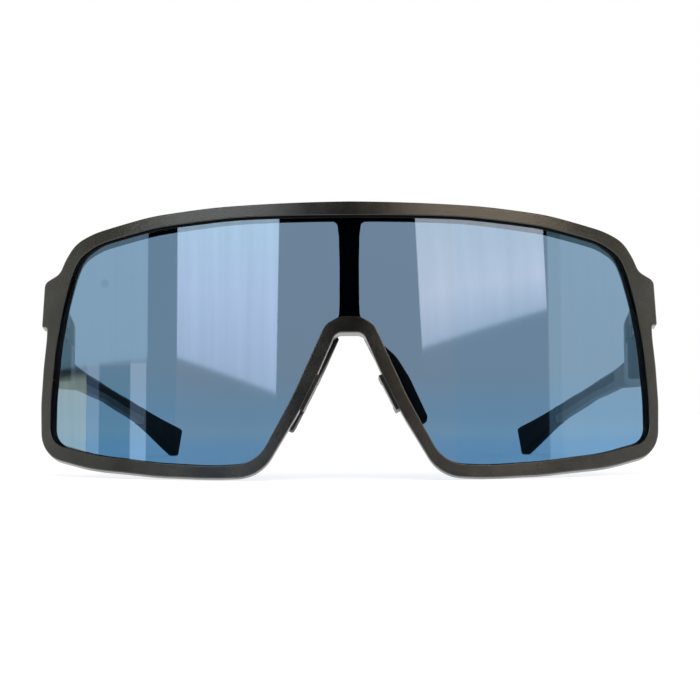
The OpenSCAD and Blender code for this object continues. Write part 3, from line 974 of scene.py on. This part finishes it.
# Painted shade: the rim's plastic made near black where it lies in shade behind the lens, on the rib, the
# strip along the lens's edge and the faces that look into the aperture
RIM_SHADE_BLACK = grained("rim_painted_shade", srgb(1, 1, 1), srgb(4, 4, 5), 0.6, 0.12, 0.25, specular=0.1)
NYLON = grained("clip_nylon", srgb(24, 23, 22), srgb(38, 36, 34), 0.4, 0.12, 0.2)
STEEL = metal("drawn_steel", (0.62, 0.62, 0.64, 1), 0.3, 900.0)
BRASS = metal("turned_brass", (0.80, 0.60, 0.30, 1), 0.28, 1200.0)
WASHER = grained("washer_plastic", srgb(215, 215, 210), srgb(232, 232, 228), 0.35, 0.1, 0.1)
LENS = lens_material()

# ---------- the pieces ----------
rim, inner_faces = build_rim()
finish_piece(rim, "front", "rim_plastic", RIM_MATT, "front_frame")
# the faces that look into the aperture get the black of painted shade
rim.data.materials.append(RIM_SHADE_BLACK)
for index in inner_faces:
    rim.data.polygons[index].material_index = 1
finish_piece(build_rib(), "front", "rim_plastic", RIM_SHADE_BLACK)
finish_piece(build_shade_strip(), "front", "rim_plastic", RIM_SHADE_BLACK)
finish_piece(build_lens(), "front", "lens_coated", LENS, "lens")
for side, name in SIDE_NAME.items():
    finish_piece(build_end_piece(side), "front", "rim_plastic", RIM_MATT)
    for label in EARS:
        finish_piece(build_ear(side, label), "front", "rim_plastic", RIM_MATT)
    arm_body = "temple_arm_" + name
    finish_piece(build_arm(side), arm_body, "rim_plastic", ARM_MATT, "temple_" + name)
    finish_piece(build_tongue(side), arm_body, "rim_plastic", ARM_MATT)
    finish_piece(build_sleeve(side), arm_body, "grip_rubber", RUBBER, "ear_grip_" + name)
    finish_piece(build_inlay(side), arm_body, "grip_rubber", RUBBER)
    finish_piece(build_pad(side), "pad_" + name, "grip_rubber", PAD_RUBBER, "nose_pad_" + name)

NODE_FINISH = {
    "core_strip": STEEL, "hinge_screw": STEEL, "hinge_bush": STEEL, "hinge_insert": BRASS,
    "hinge_washers": WASHER, "nose_clip": NYLON, "nose_pin": STEEL, "nose_pad_core": NYLON,
}
for node, holder in frame["nodes"].items():
    for stem, material in NODE_FINISH.items():
        if node.startswith(stem):
            holder.data.materials.clear()
            holder.data.materials.append(material)

# ---------- stage ----------
CAMERA_BACK = 660.0
CAMERA_UP = 32.5
CAMERA_ROLL = 0.004  # radians
camera_data = bpy.data.cameras.new("camera")
camera_data.sensor_width = 36
camera_data.lens = 147.55
camera_data.shift_x = 0.0007
camera_data.shift_y = -0.0143
camera = add_object("camera", camera_data)
camera.location = (0, ORIGIN.y - CAMERA_BACK * MM, CAMERA_UP * MM)
camera.rotation_euler = (radians(90), CAMERA_ROLL, 0)
bpy.context.scene.camera = camera


CARD_AWAY = 1.2  # metres from the lens to the cards
CARD_STEPS = 10


def mirrored_at(x, v):
    """Where the camera sees by reflection in the lens at (x, v), on the shell where the cards stand."""
    radius = WRAP_R - FLANGE_T
    point = on_wrap(Vector((x, v)), FLANGE_T)
    normal = ((x * ACROSS - sqrt(radius * radius - x * x) * BACK) / radius).normalized()
    ray = (point - camera.location).normalized()
    return point + (ray - 2 * ray.dot(normal) * normal) * CARD_AWAY


def card_material(name, low, middle, top, streaks, middle_at):
    """Emission that runs from low to top up the card, with soft upright streaks across it."""
    material, n = new_material(name)
    where = n.add("Attribute", attribute_name="card").outputs["Vector"]
    ramp = n.add("ValToRGB", {"Fac": n.axes(where)["Y"]})
    ramp.color_ramp.elements[0].color = (*low, 1)
    ramp.color_ramp.elements[1].color = (*top, 1)
    ramp.color_ramp.elements.new(middle_at).color = (*middle, 1)
    stretch = n.add("Mapping", {"Vector": where, "Scale": (9.0, 0.5, 1.0)}).outputs[0]
    level = n.span(n.noise(stretch, 1.0, 3.0), 0.3, 0.7, 1 - streaks, 1 + streaks)
    glow = n.add("Emission", {"Color": ramp.outputs["Color"], "Strength": level})
    n.add("OutputMaterial", {"Surface": glow.outputs[0]})
    return material


def reflection_card(name, left, right, top, low, colours, streaks=0.06, middle_at=0.5, slant=(0.0, 0.0)):
    """A soft light panel, shaped by the patch of lens that mirrors it to the camera.

    left, right and top bound the patch in millimetres, low is the height of its lower edge at the
    left and at the right, and slant moves the lower ends of its left and right edges across.
    colours are those at the bottom, at middle_at of the height and at the top.
    """
    vertices, faces, shares = [], [], []
    for i in range(CARD_STEPS + 1):
        x = left + (right - left) * i / CARD_STEPS
        bottom = low[0] + (low[1] - low[0]) * i / CARD_STEPS
        for j in range(CARD_STEPS + 1):
            drift = (slant[0] + (slant[1] - slant[0]) * i / CARD_STEPS) * (1 - j / CARD_STEPS)
            vertices.append(mirrored_at(x + drift, bottom + (top - bottom) * j / CARD_STEPS))
            shares.append((i / CARD_STEPS, j / CARD_STEPS, 0.0))
    for i in range(CARD_STEPS):
        for j in range(CARD_STEPS):
            a = i * (CARD_STEPS + 1) + j
            faces.append((a, a + 1, a + CARD_STEPS + 2, a + CARD_STEPS + 1))
    card = mesh_object(name, vertices, faces)
    attribute = card.data.attributes.new("card", "FLOAT_VECTOR", "POINT")
    for value, share in zip(attribute.data, shares):
        value.vector = share
    card.data.materials.append(card_material(name, *colours, streaks, middle_at))
    card.visible_camera = False
    card.visible_diffuse = False
    card.visible_shadow = False
    card.visible_transmission = False


CARD_TOP = 66
CARD_END = -5        # below the rim
CARD_FLOOR = 29.1    # where the lens stops mirroring the room and starts to mirror the table
BROW_CARD_TOP = 300  # above the rim, so that the rim's brow mirrors these two

reflection_card("card_left", -40.6, -16.3, 64, (28.8, 19.2),
                ((0.70, 0.80, 1.02), (1.02, 1.10, 1.42), (1.0, 1.31, 1.46)),
                streaks=0.1, slant=(0.0, -0.8))
reflection_card("card_right", 15.3, 45.9, 64, (29.6, 40.5),
                ((0.72, 0.76, 0.88), (1.26, 1.19, 1.29), (1.00, 1.06, 1.10)),
                streaks=0.08, middle_at=0.36, slant=(1.6, 0.9))
reflection_card("card_side_left", -76.0, -47.8, CARD_TOP, (CARD_FLOOR, CARD_FLOOR),
                ((0.24, 0.42, 0.52), (0.27, 0.45, 0.55), (0.32, 0.46, 0.6)))
reflection_card("card_low_left", -76.0, -63.1, 27.3, (CARD_END, CARD_END),
                ((0.52, 0.62, 0.62), (0.50, 0.60, 0.46), (0.12, 0.16, 0.14)),
                streaks=0.12, middle_at=0.947)
reflection_card("card_low_mid", -63.1, -59.9, CARD_FLOOR, (CARD_END, CARD_END),
                ((0.10, 0.15, 0.26), (0.10, 0.15, 0.26), (0.08, 0.12, 0.2)), streaks=0.1)
reflection_card("card_strip_left", -52.0, -48.1, CARD_FLOOR, (CARD_END, CARD_END),
                ((0.42, 0.48, 0.66), (0.15, 0.20, 0.28), (0.14, 0.19, 0.27)), streaks=0.1)
reflection_card("card_side_right", 50.3, 76.0, CARD_TOP, (CARD_END, CARD_END),
                ((0.16, 0.20, 0.26), (0.16, 0.28, 0.37), (0.22, 0.36, 0.43)))
reflection_card("card_strip_right", 47.0, 50.3, CARD_TOP, (CARD_END, CARD_END),
                ((0.08, 0.14, 0.22), (0.10, 0.20, 0.26), (0.14, 0.26, 0.32)), streaks=0.15)
reflection_card("card_brow_left", -48.0, -14.0, BROW_CARD_TOP, (CARD_TOP, CARD_TOP),
                ((4.2, 4.45, 4.3),) * 3, streaks=0.02)
reflection_card("card_brow_right", 12.0, 49.0, BROW_CARD_TOP, (CARD_TOP, CARD_TOP),
                ((5.8, 4.7, 3.4),) * 3, streaks=0.02)


LIT_POINT = Vector((0, 0, 0.03))  # where the lights point


def area_light(name, location, size, power, colour=(1, 1, 1)):
    """A soft rectangular light that mirrors don't see."""
    light = bpy.data.lights.new(name, "AREA")
    light.shape = "RECTANGLE"
    light.size, light.size_y = size
    light.energy = power
    light.color = colour
    holder = add_object(name, light)
    holder.location = location
    holder.rotation_euler = (LIT_POINT - holder.location).to_track_quat("-Z", "Y").to_euler()
    holder.visible_glossy = False


WARM = (1.0, 0.93, 0.85)
area_light("key_above", (0.1, -0.5, 0.9), size=(0.9, 0.7), power=7.0)
area_light("fill_left", (-1.0, -0.15, 0.3), size=(0.6, 0.6), power=7.0, colour=WARM)
area_light("fill_right", (1.0, -0.15, 0.3), size=(0.6, 0.6), power=11.0, colour=WARM)


def set_world():
    """White to the camera, dim as a light, and in mirrors warm white behind the glasses only."""
    world = bpy.data.worlds.new("studio")
    bpy.context.scene.world = world
    world.use_nodes = True
    n = Nodes(world.node_tree)
    path = n.add("LightPath").outputs
    heading = n.axes(n.add("TexCoord").outputs["Generated"])
    behind = n.span(heading["Y"], 0.1, 0.6)
    seen = n.add("Background", {"Color": WHITE, "Strength": 1.0}).outputs[0]
    lit = n.add("Background", {"Color": WHITE, "Strength": 0.4}).outputs[0]
    mirrored = n.add("Background", {"Color": (1.0, 0.9, 0.86, 1), "Strength": behind}).outputs[0]
    unseen = n.add("MixShader", {0: path["Is Glossy Ray"], 1: lit, 2: mirrored}).outputs[0]
    final = n.add("MixShader", {0: path["Is Camera Ray"], 1: unseen, 2: seen}).outputs[0]
    n.add("OutputWorld", {"Surface": final})


FLOOR_SIZE = 12.0
FLOOR_DROP = 0.00005  # keeps the floor just clear of the part


def lay_floor():
    """A pale table round the glasses that fades to white further out."""
    bpy.ops.mesh.primitive_plane_add(size=FLOOR_SIZE, location=(0, 0, -FLOOR_DROP))
    floor = bpy.context.object
    floor.name = "floor"
    material, n = new_material("floor_white")
    where = n.add("TexCoord").outputs["Object"]
    darker, lighter = (0.32, 0.32, 0.32, 1), (0.36, 0.36, 0.36, 1)
    tone = n.mix(darker, lighter, n.noise(where, 3.0))
    paper = n.add("BsdfDiffuse", {"Color": tone}).outputs[0]
    far = n.add("VectorMath", {0: where}, operation="LENGTH").outputs["Value"]
    fade = n.span(far, 0.12, 0.6, kind="SMOOTHSTEP")
    glow = n.add("Emission", {"Color": WHITE, "Strength": 0.75}).outputs[0]
    near = n.add("AddShader", {0: paper, 1: glow}).outputs[0]
    bright = n.add("Emission", {"Color": WHITE, "Strength": 1.0}).outputs[0]
    sweep = n.add("MixShader", {0: fade, 1: near, 2: bright}).outputs[0]
    n.add("OutputMaterial", {"Surface": sweep})
    floor.data.materials.append(material)


set_world()
lay_floor()

bpy.context.scene.view_settings.view_transform = "Standard"
bpy.context.scene.cycles.transparent_max_bounces = 24
